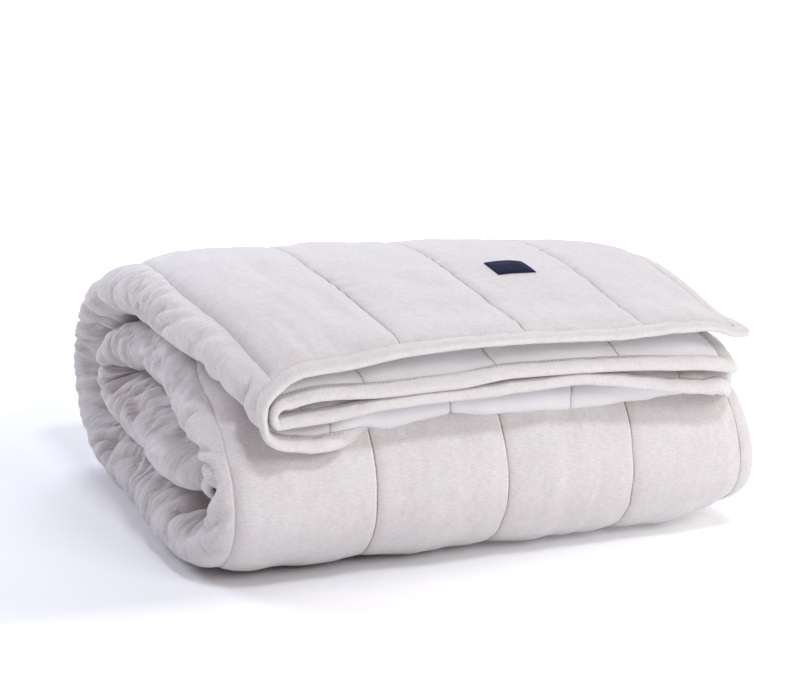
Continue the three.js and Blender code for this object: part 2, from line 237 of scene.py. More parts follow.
def cloth_middle(s, w):
    """Middle surface with the hem bent down over a round of even radius and lifted in waves.

    Beyond the most it may turn, the hem goes on straight. The right end of the front fold is
    lifted a little off the floor."""
    across = w / CHANNEL
    start, radius = between(HEM_BEND_FROM, across), 1 / between(HEM_BEND_CURVE, across)
    edge = rolled_cloth(start, w)
    outward = edge - rolled_cloth(start + 0.004, w)
    outward /= np.linalg.norm(outward, axis=-1, keepdims=True)
    down = outward * outward[..., 2:] - [0, 0, 1]
    down /= np.linalg.norm(down, axis=-1, keepdims=True)
    beyond = np.maximum(0, start - s)
    angle = np.minimum(beyond / radius, HEM_BEND_MOST)
    straight = beyond - angle * radius
    ahead = radius * np.sin(angle) + straight * np.cos(angle)
    drop = radius * (1 - np.cos(angle)) + straight * np.sin(angle)
    point = rolled_cloth(np.maximum(s, start), w) + outward * ahead[..., None] + down * drop[..., None]
    near_hem = 1 - ease(0, HEM_REACH, s)
    point[..., 2] += between(HEM_LIFT, across) * near_hem
    point[..., 0] += between(HEM_SHIFT, across) * near_hem
    under = ease(KNOTS[2], KNOTS[3], s) * (1 - ease(KNOTS[3] + 0.03, KNOTS[3] + 0.13, s))
    point[..., 2] += RIGHT_END_LIFT * (1 - ease(0, 0.6, across)) * under
    return point


def cloth_normal(s, w, step=0.0012):
    """Unit normal of the middle surface, on the face's side, from central differences."""
    along = cloth_middle(s + step, w) - cloth_middle(s - step, w)
    across = cloth_middle(s, w + step) - cloth_middle(s, w - step)
    normal = np.cross(across, along)
    return -normal / np.linalg.norm(normal, axis=-1, keepdims=True)


def seam_wander(s, w):
    """How far a seam strays to the side: about a millimetre of slow noise along it."""
    return 0.0013 * noise(s / 0.05, w / CHANNEL * 3, 31) + 0.0005 * noise(s / 0.016, w / CHANNEL * 3, 32)


# Folds that press the filling flat: where across in channels, how far to each side, and the
# share of the thickness that stays.
PRESSED_AT = ((4.4, 0.09, 0.66), (8.41, 0.06, 0.6), (12.3, 0.09, 0.62))
GROOVE, SOFT_GROOVE = 0.0015, 0.0045


def quilt_thickness(s, w):
    """Crown of each channel over its seams, drawn in towards the bound rim.

    A steep groove of exponential sides beside each seam, softer at the fourth, carries 0.46 of
    the height, and a round crown carries the rest."""
    f = ((w + seam_wander(s, w)) / CHANNEL) % 1
    from_seam = np.minimum(f, 1 - f) * CHANNEL
    groove = GROOVE + SOFT_GROOVE * np.exp(-((w / CHANNEL - 4) / 0.3) ** 2)
    crown = np.maximum(0, 1 - np.abs(2 * f - 1) ** 3) ** 0.6
    channel = 0.46 * (1 - np.exp(-from_seam / groove)) + 0.54 * crown
    rim = lambda d: (1 - (1 - np.clip((d - BAND) / 0.045, 0, 1)) ** 2.4) ** 0.6
    ends = rim(np.minimum(s, CLOTH_LENGTH - s)) * rim(np.minimum(w, CLOTH_WIDTH - w))
    pressed = 1
    for middle, half, share in PRESSED_AT:
        flat = 1 - ease(half / 2, half, np.abs(w / CHANNEL - middle))
        pressed = pressed * (1 - (1 - share) * flat)
    return SEAM_THICKNESS + (CROWN_THICKNESS - SEAM_THICKNESS) * channel * ends * pressed


LOBE_HEIGHT = 0.0182
FINE_HEIGHT = 0.0090
FINEST_HEIGHT = 0.0015


def end_folds(s, w):
    """Folds across the closed end: rounded lobes of uneven width with sharp valleys, the size of
    a sine whose phase runs along the cloth and is shaken by noise, with two finer sets over them."""
    across = w / CHANNEL
    phase = s / 0.036 + 1.9 * noise(s / 0.085, across / 0.9, 21) + 0.7 * noise(s / 0.03, across / 0.45, 26)
    lobes = np.abs(np.sin(np.pi * (phase + 0.6 * across))) ** 0.62 - 0.75
    size = np.maximum(0.15, 0.66 + 0.8 * noise(s / 0.075, across / 0.6, 22))
    slant = s / 0.014 + 2.2 * noise(s / 0.05, across / 0.4, 24) + 1.5 * across
    fine = np.abs(noise(slant, across / 0.35, 23)) ** 0.6 - 0.5
    patchy = ease(-0.6, 0.3, noise(s / 0.06 + 9, across / 0.5, 27))
    fine = fine * patchy * (0.5 + 0.5 * ease(4.4, 4.7, across))
    finest = np.abs(noise(s / 0.0072 + 1.5 * across, across / 0.25, 25)) ** 0.7 - 0.45
    spread = ease(3.98, 4.18, across) * (1 - ease(4.98, 5.35, across))
    deep = 0.5 + 0.2 * ease(4.1, 4.4, across) + 0.65 * ease(4.45, 4.8, across)
    return spread * (LOBE_HEIGHT * deep * size * lobes + FINE_HEIGHT * fine + FINEST_HEIGHT * finest)


def end_valley(s, w):
    """Round ridge beside a wide valley, of the whole cloth, where the closed end begins."""
    hump = lambda middle, reach: np.exp(-((w / CHANNEL - middle) / reach) ** 2)
    on_top = (1 - ease(0.15, 0.40, s)) * ease(0.0, 0.04, s)
    return (0.0035 * hump(4.13, 0.07) - 0.0046 * hump(4.0, 0.05)) * on_top


GATHER_HEIGHT, GATHER_LESS = 0.0016, 0.0006
WAVE_HEIGHT, SHORT_WAVE_HEIGHT = 0.0019, 0.0010
RIDGE_HEIGHT = 0.0030
# Short creases by the hem: place across in channels, start and end along the cloth.
CREASES = ((0.60, 0.018, 0.055), (0.84, 0.016, 0.050), (3.47, 0.014, 0.060))
CREASE_DEPTH = 0.0022


def puckers(s, w, side):
    """Small relief of the filled cloth, all of it smooth noise: gathers that fade away from the
    seams, soft waves and ridges along the channels, a few short creases by the hem, the folds of
    the closed end, and the valley beside them, which both faces follow."""
    f = (w / CHANNEL) % 1
    from_seam = np.minimum(f, 1 - f) * CHANNEL
    gathers = (GATHER_HEIGHT - GATHER_LESS * side) * np.exp(-from_seam / 0.013)
    gathers = gathers * noise(s / 0.010, w / 0.05 + 3 * side, 11)
    waves = WAVE_HEIGHT * noise(s / 0.11 + 2 * side, w / 0.026, 12)
    waves = waves + SHORT_WAVE_HEIGHT * noise(s / 0.035, w / 0.045, 13)
    ridges = np.abs(noise(s / 0.17, w / 0.017, 14)) ** 0.8 - 0.3
    patchy = ease(-0.1, 0.6, noise(s / 0.15, w / 0.085, 15))
    waves = waves + RIDGE_HEIGHT * ridges * patchy * (side > 0)
    waves = waves * ease(0.004, 0.03, from_seam)
    creases = 0
    for place, start, end in CREASES:
        line = np.exp(-((w / CHANNEL - place - 0.3 * (s - start)) / 0.016) ** 2)
        depth = CREASE_DEPTH * line * ease(start - 0.008, start, s)
        creases = creases - depth * (1 - ease(end - 0.02, end, s))
    return gathers + waves + (creases + end_folds(s, w)) * (side > 0) + end_valley(s, w) * side


def face_height(s, w, side):
    """Height of the face (side 1) or the reverse (side -1) over the middle surface."""
    return quilt_thickness(s, w) / 2 + puckers(s, w, side) * ease(BAND, BAND + 0.012, s)


def face_point(s, w, side, lift=0.0):
    """Point on the face or the reverse, kept on or above the floor."""
    offset = side * (face_height(s, w, side) + lift)
    point = cloth_middle(s, w) + cloth_normal(s, w) * offset[..., None]
    point[..., 2] = np.maximum(point[..., 2], 0)
    return point


def mesh_from(name, points, faces, uv, material_index=None):
    """Smooth mesh of faces with equally many corners, with one UV pair for each point."""
    mesh = bpy.data.meshes.new(name)
    mesh.vertices.add(len(points))
    mesh.vertices.foreach_set("co", points.ravel())
    mesh.loops.add(faces.size)
    mesh.loops.foreach_set("vertex_index", faces.ravel())
    mesh.polygons.add(len(faces))
    mesh.polygons.foreach_set("loop_start", np.arange(0, faces.size, faces.shape[1]))
    mesh.polygons.foreach_set("use_smooth", np.ones(len(faces), bool))
    if material_index is not None:
        mesh.polygons.foreach_set("material_index", material_index)
    mesh.update(calc_edges=True)
    layer = mesh.uv_layers.new(name="cloth")
    layer.data.foreach_set("uv", uv[faces.ravel()].ravel())
    mesh.validate()
    return mesh


def slab_mesh(name, s, w, upper, lower):
    """Closed slab over the grid of s and w: two faces and the four strips that join their rims."""
    rows, cols = len(s), len(w)
    points = np.concatenate([upper.reshape(-1, 3), lower.reshape(-1, 3)])
    index = np.arange(rows * cols).reshape(rows, cols)
    cell = lambda a: np.stack([a[:-1, :-1], a[1:, :-1], a[1:, 1:], a[:-1, 1:]], -1).reshape(-1, 4)
    top, under = cell(index), cell(index + rows * cols)[:, ::-1]
    rim = np.concatenate([index[0], index[1:, -1], index[-1, -2::-1], index[-2:0:-1, 0]])
    after = np.roll(rim, -1)
    strips = np.stack([rim, after, after + rows * cols, rim + rows * cols], -1)
    material_index = np.repeat([0, 1, 0], [len(top), len(under), len(strips)])
    flat = np.stack(np.broadcast_arrays(w[None, :], s[:, None]), -1).reshape(-1, 2)
    faces = np.concatenate([top, under, strips])
    return mesh_from(name, points, faces, np.concatenate([flat, flat]), material_index)


def add_object(name, mesh, *materials):
    """The mesh as a piece of the scene, with its materials in order."""
    piece = bpy.data.objects.new(name, mesh)
    bpy.context.scene.collection.objects.link(piece)
    for material in materials:
        mesh.materials.append(material)
    return piece


def stepped(spans):
    """Places from the first span's start to the last one's end, about its step apart in each."""
    return np.concatenate([np.linspace(a, b, int(np.ceil((b - a) / step)) + 1) for a, b, step in spans])


def quilt_rows():
    """Rows along the cloth, about 2.7 mm apart."""
    return np.unique(stepped([(QUILT_RIM, 0.06, 0.0026), (0.06, CLOTH_LENGTH - QUILT_RIM, 0.0027)]))


# Steps of the columns, from and to in channels: close on the closed end and in the bends, wide
# on hidden layers. Beside each seam they lie at the distances that follow.
COLUMN_STEPS = [(3.9, 5.2, 0.0036), (5.2, 8.25, 0.0135), (8.25, 8.6, 0.0025), (8.6, 12.05, 0.0135),
                (12.05, 12.55, 0.0027), (12.55, 15.85, 0.0135)]
BESIDE_SEEN_SEAM = [0.0, 0.0009, 0.002, 0.0035, 0.006]
BESIDE_HIDDEN_SEAM = [0.0, 0.0022, 0.006]
SEEN_SEAMS = 5
LEAST_GAP = 0.0016


def quilt_columns():
    """Columns across the cloth: the even steps and those beside the seams, less any even one
    that comes too close to its neighbour."""
    spans = [(QUILT_RIM, BAND, 0.0033), (BAND, 3.9 * CHANNEL, 0.0050)]
    spans += [(a * CHANNEL, b * CHANNEL, step) for a, b, step in COLUMN_STEPS]
    spans.append((15.85 * CHANNEL, CLOTH_WIDTH - QUILT_RIM, 0.004))
    near = []
    for k in range(1, CHANNELS):
        beside = np.array(BESIDE_SEEN_SEAM if k <= SEEN_SEAMS else BESIDE_HIDDEN_SEAM)
        near += [k * CHANNEL - beside, k * CHANNEL + beside]
    near = np.concatenate(near).round(5)
    every = np.unique(np.concatenate([stepped(spans).round(5), near]))
    seam = np.isin(every, near)
    crowded = (np.diff(every) < LEAST_GAP) & ~(seam[1:] & seam[:-1])
    drop = np.zeros(len(every), bool)
    drop[1:] |= crowded & ~seam[1:]
    drop[:-1] |= crowded & ~seam[:-1]
    drop[[0, -1]] = False
    return every[~drop]


rows, columns = quilt_rows(), quilt_columns()
along = rows[:, None]
across = columns[None, :] - seam_wander(along, columns[None, :])
quilt_mesh = slab_mesh("quilt_cloth", rows, columns,
                       face_point(along, across, 1), face_point(along, across, -1))


class Value:
    """A shader socket on which sums, products and the like add Math nodes."""

    def __init__(self, shader, socket):
        self.shader, self.socket = shader, socket

    def math(self, operation, *others):
        return self.shader.node("ShaderNodeMath", {"operation": operation}, self, *others)

    def __add__(self, other):
        return self.math("ADD", other)

    def __radd__(self, other):
        return self.math("ADD", other)

    def __sub__(self, other):
        return self.math("SUBTRACT", other)

    def __rsub__(self, other):
        return self.shader.node("ShaderNodeMath", {"operation": "SUBTRACT"}, other, self)

    def __mul__(self, other):
        return self.math("MULTIPLY", other)

    def __rmul__(self, other):
        return self.math("MULTIPLY", other)


class Shader:
    """A material's node tree around its own Principled shader."""

    def __init__(self, name):
        self.material = bpy.data.materials.new(name)
        self.material.use_nodes = True
        self.tree = self.material.node_tree
        self.surface = self.tree.nodes["Principled BSDF"]

    def put(self, socket, value):
        if isinstance(value, Value):
            self.tree.links.new(value.socket, socket)
        else:
            socket.default_value = value

    def node(self, kind, settings, *values, out=0, **named):
        """A node of a kind with its settings, then the values or links of its sockets."""
        node = self.tree.nodes.new(kind)
        for key, value in settings.items():
            setattr(node, key, value)
        for socket, value in zip(node.inputs, values):
            self.put(socket, value)
        for key, value in named.items():
            self.put(node.inputs[key.replace("_", " ")], value)
        return Value(self, node.outputs[out])

    def set(self, **sockets):
        for key, value in sockets.items():
            self.put(self.surface.inputs[key.replace("_", " ")], value)

    def grain(self, place, scale, detail):
        """Noise from 0 to 1 over a place that is already stretched."""
        settings = {"noise_dimensions": "3D"}
        return self.node("ShaderNodeTexNoise", settings, Vector=place, Scale=scale, Detail=detail)

    def stretch(self, place, across, along):
        """A place with its two cloth directions multiplied."""
        return self.node("ShaderNodeVectorMath", {"operation": "MULTIPLY"}, place, (across, along, 1.0))

    def spread(self, value, low, high, first, last):
        """A value between low and high carried over to between first and last."""
        return self.node("ShaderNodeMapRange", {}, value, low, high, first, last)

    def near_seam(self, place, reach, shift=0.0):
        """Mask of the colour at a seam, painted shade and highlight included: 1 at a shift beside the seam
        between two channels and 0 from a reach away on, fainter at the fourth seam and in stretches along
        each."""
        across = self.node("ShaderNodeSeparateXYZ", {}, place) - shift
        part = (across * (1 / CHANNEL) + 0.5).math("FRACT") - 0.5
        faint = self.spread((across * (1 / CHANNEL) - 4.0).math("ABSOLUTE"), 0.1, 0.3, 0.25, 1.0)
        uneven = self.spread(self.grain(self.stretch(place, 4, 22), 1.0, 2.0), 0.35, 0.6, 0.35, 1.0)
        return self.spread(part.math("ABSOLUTE") * CHANNEL, 0.0, reach, 1.0, 0.0) * faint * uneven

    def between_channels(self, place, first, last):
        """1 between two places counted in channels, 0 outside them, eased over a fifth of one."""
        across = self.node("ShaderNodeSeparateXYZ", {}, place) * (1 / CHANNEL)
        before_last = self.spread(across, last - 0.2, last, 1.0, 0.0)
        return self.spread(across, first, first + 0.2, 0.0, 1.0) * before_last

    def mix(self, share, first, second):
        """One colour at share 0 and the other at share 1."""
        node = self.tree.nodes.new("ShaderNodeMix")
        node.data_type = "RGBA"
        self.put(node.inputs["Factor"], share)
        self.put(node.inputs[6], first)
        self.put(node.inputs[7], second)
        return Value(self, node.outputs[2])


# Colours at a seam, with painted light and shade: a dark line in the groove, part thread and part
# painted shade, a painted highlight on its left edge and a painted warm shade on its right, and the
# reverse's dark seam line, likewise part thread and part painted shade. Then the channels between
# which the closed end shows its fine creases.
SEAM_LINE_AND_PAINTED_SHADE = (0.16, 0.10, 0.085, 1)
SEAM_PAINTED_HIGHLIGHT = (0.90, 0.89, 0.88, 1)
SEAM_PAINTED_SHADE = (0.56, 0.44, 0.40, 1)
REVERSE_GROOVE_LINE_AND_PAINTED_SHADE = (0.24, 0.17, 0.15, 1)
CLOSED_END = (4.0, 5.3)


def heather_cloth(name, light, dark, streak_share, seamed):
    """Short velvet of mixed yarns: short fine streaks across the channels over a soft mottle,
    and a pile that scatters light at its edges. Beside a seam, light and shade are painted into the
    colour: a thin dark line in the groove, part thread and part painted shade, a painted highlight
    on its left edge and a painted warm shade on its right.

    Each noise is stretched by how many times it repeats in a metre across and along the cloth."""
    shader = Shader(name)
    place = shader.node("ShaderNodeUVMap", {"uv_map": "cloth"})
    streaks = shader.grain(shader.stretch(place, 150, 1000), 1.0, 3.0)
    flecks = shader.grain(shader.stretch(place, 500, 1100), 1.0, 2.0)
    mottle = shader.grain(shader.stretch(place, 55, 45), 1.0, 4.0)
    patches = shader.grain(shader.stretch(place, 130, 110), 1.0, 3.0)
    mixed = streaks * 0.42 + flecks * 0.34 + mottle * 0.13 + patches * 0.17
    share = shader.spread(mixed, 0.40, 0.68, 0.0, streak_share)
    colour = shader.mix(share, (*light, 1), (*dark, 1))
    if seamed:
        # Painted light and shade at each seam: a painted warm shade on its right, a painted highlight on
        # its left edge, and the dark line in the groove, part thread and part painted shade.
        colour = shader.mix(shader.near_seam(place, 0.0060, -0.0045) * 0.30, colour, SEAM_PAINTED_SHADE)
        colour = shader.mix(shader.near_seam(place, 0.0011, 0.0016) * 0.80, colour, SEAM_PAINTED_HIGHLIGHT)
        colour = shader.mix(shader.near_seam(place, 0.0011) * 0.95, colour, SEAM_LINE_AND_PAINTED_SHADE)
    shader.set(Base_Color=colour, Roughness=0.92, Sheen_Weight=0.3, Sheen_Roughness=0.5)
    pile = shader.grain(shader.stretch(place, 500, 800), 1.0, 2.0)
    crush = shader.grain(shader.stretch(place, 130, 110), 1.0, 3.0)
    height = pile * 0.45 + crush * 3.0 + flecks * 0.3
    if seamed:
        end = shader.between_channels(place, *CLOSED_END)
        lines = shader.grain(shader.stretch(place, 26, 190), 1.0, 2.0)
        height = height - ((lines - 0.5).math("ABSOLUTE") * end) * 19.0
    shader.set(Normal=shader.node("ShaderNodeBump", {}, Strength=0.3, Distance=0.0012, Height=height))
    return shader.material


def smooth_cloth(name, colour):
    """Close plain cloth, with only the faintest cloudiness and a dark line in each seam, part thread and
    part painted groove shade.
    """
    shader = Shader(name)
    place = shader.node("ShaderNodeUVMap", {"uv_map": "cloth"})
    cloud = shader.grain(shader.stretch(place, 60, 60), 1.0, 3.0)
    darker = tuple(c * 0.93 for c in colour)
    tone = shader.mix(cloud, (*colour, 1), (*darker, 1))
    # The dark line in each seam: part thread, part painted groove shade.
    tone = shader.mix(shader.near_seam(place, 0.0013) * 0.80, tone, REVERSE_GROOVE_LINE_AND_PAINTED_SHADE)
    shader.set(Base_Color=tone, Roughness=0.8, Sheen_Weight=0.15, Sheen_Roughness=0.4)
    weave = shader.grain(shader.stretch(place, 900, 900), 1.0, 2.0)
    shader.set(Normal=shader.node("ShaderNodeBump", {}, Strength=0.2, Distance=0.0006, Height=weave))
    return shader.material


velvet = heather_cloth("heather_velvet", light=(0.69, 0.673, 0.670), dark=(0.545, 0.512, 0.503),
                       streak_share=0.9, seamed=True)
reverse_cloth = smooth_cloth("reverse_cloth", (0.78, 0.77, 0.78))
quilt = add_object("quilt_cloth", quilt_mesh, velvet, reverse_cloth)
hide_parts("quilt")
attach(quilt, "root")

# Binding. A 42 mm tape of the heathered cloth, folded over the edge of the quilt all the way
# round, mitred at the corners and sewn down on both sides. Its fold is soft, over a little filling.
# Its outside and inside, from the sewn edge to the fold: millimetres in from the fold and up
# from the middle.
TAPE_OUTER = np.array([(17.2, 2.3), (15.8, 2.6), (13.5, 3.3), (10.5, 3.85), (7.5, 4.1), (4.5, 3.9),
                       (2.2, 3.1), (0.7, 1.8), (0.0, 0.0)]) / 1000
TAPE_INNER = np.array([(17.2, 1.35), (15.8, 1.6), (13.5, 2.3), (10.5, 2.85), (7.5, 3.1), (4.5, 2.9),
                       (2.8, 2.2), (1.7, 1.1), (1.2, 0.0)]) / 1000
CORNER_ROUND = 0.012
TAPE_STEP = 0.005
RIPPLE = 0.10


def tape_section():
    """Ring of (inward, height) points: the outside from the face round the edge to the reverse,
    and the inside back again."""
    mirrored = lambda half: np.concatenate([half, (half * [1, -1])[-2::-1]])
    return np.concatenate([mirrored(TAPE_OUTER), mirrored(TAPE_INNER)[::-1]])


def rim_path(rows, cols):
    """Places round the rim: start of each section, its way inward and the length along the tape.

    Near a corner the way inward turns towards the mitre, and the corner itself is rounded: the
    fold lies deeper by the radius less the height of a circle over its middle."""
    near = np.append(CORNER_ROUND * (1 - np.sin(np.radians([45, 34, 22, 11, 0]))), 0.0148)
    sides = []
    for length, places in ((CLOTH_WIDTH, cols), (CLOTH_LENGTH, rows)):
        inside = places[(places > BAND) & (places < length - BAND)]
        sides.append(np.concatenate([near, inside, (length - near)[:0:-1]]))
    loops, inward = [], []
    for side, (along, length) in enumerate(((sides[0], CLOTH_WIDTH), (sides[1], CLOTH_LENGTH)) * 2):
        lean = np.clip(1 - along / BAND, 0, 1) - np.clip(1 - (length - along) / BAND, 0, 1)
        from_end = np.minimum(along, length - along)
        to_arc = np.clip(CORNER_ROUND - from_end, 0, CORNER_ROUND)
        depth = CORNER_ROUND - np.sqrt(CORNER_ROUND ** 2 - to_arc ** 2)
        narrowed = 1 - depth / TAPE_OUTER[0, 0]
        place = [(depth, along), (along, CLOTH_WIDTH - depth), (CLOTH_LENGTH - depth, CLOTH_WIDTH - along),
                 (CLOTH_LENGTH - along, depth)][side]
        way = [(narrowed, lean), (lean, -narrowed), (-narrowed, -lean), (-lean, narrowed)][side]
        loops.append(np.stack(np.broadcast_arrays(*place), -1))
        inward.append(np.stack(way, -1))
    loop, way = np.concatenate(loops), np.concatenate(inward)
    steps = np.linalg.norm(np.roll(loop, -1, 0) - loop, axis=1)
    return loop, way, np.concatenate([[0], np.cumsum(steps)[:-1]])


def tape_columns():
    """Places across the cloth at which the tape has a section: close in the folds."""
    folds = [(0, 4, TAPE_STEP), (4, 5.2, 0.0036), (5.2, 8.25, TAPE_STEP), (8.25, 8.6, 0.002),
             (8.6, 12.05, TAPE_STEP), (12.05, 12.55, 0.002), (12.55, CHANNELS, TAPE_STEP)]
    return np.unique(stepped([(a * CHANNEL, b * CHANNEL, step) for a, b, step in folds]).round(6))


def tape_mesh():
    """The tape's section carried round the rim, its height rippled by smooth noise."""
    loop, way, run = rim_path(stepped([(0, CLOTH_LENGTH, TAPE_STEP)]), tape_columns())
    ring = tape_section()
    s = loop[:, :1] + way[:, :1] * ring[None, :, 0]
    w = loop[:, 1:] + way[:, 1:] * ring[None, :, 0]
    ripple = 1 + RIPPLE * noise(run[:, None] / 0.009, ring[None, :, 0] / 0.012, 41)
    points = cloth_middle(s, w) + cloth_normal(s, w) * (ring[None, :, 1] * ripple)[..., None]
    points[..., 2] = np.maximum(points[..., 2], 0)
    count, size = points.shape[:2]
    index = np.arange(count * size).reshape(count, size)
    following, beside = np.roll(index, -1, 0), np.roll(index, -1, 1)
    faces = np.stack([index, beside, np.roll(following, -1, 1), following], -1).reshape(-1, 4)
    along = np.cumsum(np.linalg.norm(np.diff(ring, axis=0, prepend=ring[:1]), axis=1))
    uv = np.stack(np.broadcast_arrays(along[None, :], run[:, None]), -1).reshape(-1, 2)
    return mesh_from("binding_tape", points.reshape(-1, 3), faces, uv)


tape_cloth = heather_cloth("heather_tape", light=(0.70, 0.68, 0.67), dark=(0.555, 0.525, 0.51),
                           streak_share=0.85, seamed=False)
binding = add_object("binding_tape", tape_mesh(), tape_cloth)
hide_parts("binding")
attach(binding, "root")

# Stitches. Spun thread in one line along the inner edge of the binding on both faces and in one
# along each channel seam: a shade darker than the cloth, except on the reverse, where the thread
# is much darker and its darkness is partly painted shade between the stitches.
STITCH_LENGTH = 0.0040
STITCH_WIDTH = 0.0008
STITCH_PITCH = 0.0046
SEWN_FROM = 0.02
HEM_STITCH_INSET = 0.0146
HEM_STITCH_HEIGHT = 0.0029
SEAM_STITCH_LIFT = 0.0001
# Distance to the point that a stitch is aimed at.
AIM_STEP = 0.001


def stitches(name, s, w, ahead, side, height):
    """Spindles of eight faces: a point at each end of a stitch, and four round its middle, which
    stands a height over the middle surface at (s, w). They are aimed at the places ahead."""
    middle, normal = cloth_middle(s, w), cloth_normal(s, w) * np.asarray(side)[..., None]
    forward = cloth_middle(*ahead) - middle
    forward /= np.linalg.norm(forward, axis=-1, keepdims=True)
    beside = np.cross(normal, forward)
    middle = middle + normal * np.asarray(height)[..., None]
    middle[..., 2] = np.maximum(middle[..., 2], 0.0006)
    ends = forward * STITCH_LENGTH / 2
    wide, high = beside * STITCH_WIDTH / 2, normal * STITCH_WIDTH / 2.4
    corners = [middle - ends, middle + ends, middle + wide, middle + high, middle - wide, middle - high]
    points = np.stack(corners, -2).reshape(-1, 3)
    fan = np.array([(0, 3, 2), (0, 4, 3), (0, 5, 4), (0, 2, 5), (1, 2, 3), (1, 3, 4), (1, 4, 5), (1, 5, 2)])
    faces = (np.arange(len(points) // 6)[:, None, None] * 6 + fan[None]).reshape(-1, 3)
    return mesh_from(name, points, faces, np.tile([[0.0, 0.0]], (len(points), 1)))


def thread(name, colour):
    """Spun thread: matt, with a faint twist along it."""
    shader = Shader(name)
    place = shader.node("ShaderNodeTexCoord", {}, out=3)
    twist = shader.grain(place, 1500.0, 2.0)
    darker = tuple(c * 0.8 for c in colour)
    shader.set(Base_Color=shader.mix(twist, (*colour, 1), (*darker, 1)), Roughness=0.75)
    return shader.material


def hem_stitches(name, side):
    """One line along the inner edge of the binding, on one side of the cloth."""
    runs = []
    across = np.arange(SEWN_FROM, CLOTH_WIDTH - SEWN_FROM, STITCH_PITCH)
    along = np.arange(SEWN_FROM, CLOTH_LENGTH - SEWN_FROM, STITCH_PITCH)
    for s in (HEM_STITCH_INSET, CLOTH_LENGTH - HEM_STITCH_INSET):
        runs.append((np.full_like(across, s), across, np.full_like(across, s), across + AIM_STEP))
    for w in (HEM_STITCH_INSET, CLOTH_WIDTH - HEM_STITCH_INSET):
        runs.append((along, np.full_like(along, w), along + AIM_STEP, np.full_like(along, w)))
    s, w, s_ahead, w_ahead = np.concatenate([np.stack(run) for run in runs], axis=1)
    return stitches(name, s, w, (s_ahead, w_ahead), np.full(len(s), side), HEM_STITCH_HEIGHT)


def seam_stitches():
    """One line in the groove of each channel seam, on both faces."""
    s = np.arange(SEWN_FROM, CLOTH_LENGTH - SEWN_FROM, STITCH_PITCH)
    seams = np.arange(1, CHANNELS) * CHANNEL
    s, seam = [a.ravel() for a in np.meshgrid(s, seams)]
    w = seam - seam_wander(s, seam)
    side = np.repeat([1.0, -1.0], len(s))
    s, w = np.tile(s, 2), np.tile(w, 2)
    height = face_height(s, w, side) + SEAM_STITCH_LIFT
    return stitches("seam_stitches", s, w, (s + AIM_STEP, w), side, height)


# The reverse's thread is far darker than its cloth: partly painted shade between the stitches.
for mesh, colour, slot in ((hem_stitches("face_stitches", 1.0), (0.66, 0.61, 0.60), "binding_cloth"),
                           (hem_stitches("reverse_stitches", -1.0), (0.36, 0.28, 0.25), "binding_cloth"),
                           (seam_stitches(), (0.60, 0.55, 0.54), "quilt_cloth")):
    sewing = add_object(mesh.name, mesh, thread(mesh.name, colour))
    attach(sewing, "root")

# Label. One small dark blue patch of close woven cloth, its edges turned under, sewn on the face.
# It bears nothing.
LABEL_ALONG = (0.156, 0.190)
LABEL_ACROSS = (1.385 * CHANNEL, 1.700 * CHANNEL)
LABEL_POINTS = 33
# Heights over the quilt's face: of its upper and lower side, its middle, and its turned edges.
LABEL_UPPER, LABEL_LOWER = 0.0006, 0.0003
LABEL_PUFF = 0.0022
LABEL_THICKNESS, TURNED_EDGE = 0.0006, 0.0004
LABEL_DARK = (0.009, 0.011, 0.032, 1)
LABEL_LIGHT = (0.020, 0.024, 0.060, 1)


def label_faces():
    """The patch over the quilt's face: raised in the middle by 1 less the fourth power of the
    place each way, and thicker along its turned edges."""
    s = np.linspace(*LABEL_ALONG, LABEL_POINTS)
    w = np.linspace(*LABEL_ACROSS, LABEL_POINTS)
    u = np.linspace(-1, 1, LABEL_POINTS)[:, None]
    v = np.linspace(-1, 1, LABEL_POINTS)[None, :]
    puff = (1 - u ** 4) * (1 - v ** 4) * (1 + 0.25 * noise(u * 2 + 5, v * 2 + 5, 51))
    border = ease(0.86, 0.93, np.maximum(np.abs(u), np.abs(v)))
    round_edge = 1 - ease(0.96, 1.0, np.maximum(np.abs(u), np.abs(v)))
    thick = (LABEL_THICKNESS + TURNED_EDGE * border) * round_edge
    upper = face_point(s[:, None], w[None, :], 1, LABEL_UPPER + LABEL_PUFF * puff + thick)
    lower = face_point(s[:, None], w[None, :], 1, LABEL_LOWER + LABEL_PUFF * 0.9 * puff)
    return s, w, upper, lower


def woven_label():
    """Close twill in dark blue: fine diagonal ribs and a faint shine."""
    shader = Shader("label_twill")
    place = shader.node("ShaderNodeUVMap", {"uv_map": "cloth"})
    ribs = shader.node("ShaderNodeTexWave", {"bands_direction": "DIAGONAL"}, place, 1100.0, 0.4, 2.0)
    cloud = shader.grain(shader.stretch(place, 300, 300), 1.0, 2.0)
    shader.set(Base_Color=shader.mix(ribs * 0.5 + cloud * 0.5, LABEL_DARK, LABEL_LIGHT),
               Roughness=0.9, Sheen_Weight=0.03, Sheen_Roughness=0.4, Specular_IOR_Level=0.12)
    shader.set(Normal=shader.node("ShaderNodeBump", {}, Strength=0.3, Distance=0.0004, Height=ribs))
    return shader.material


label_mesh = slab_mesh("label_patch", *label_faces())
twill = woven_label()
label = add_object("label_patch", label_mesh, twill, twill)
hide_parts("label")
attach(label, "root")

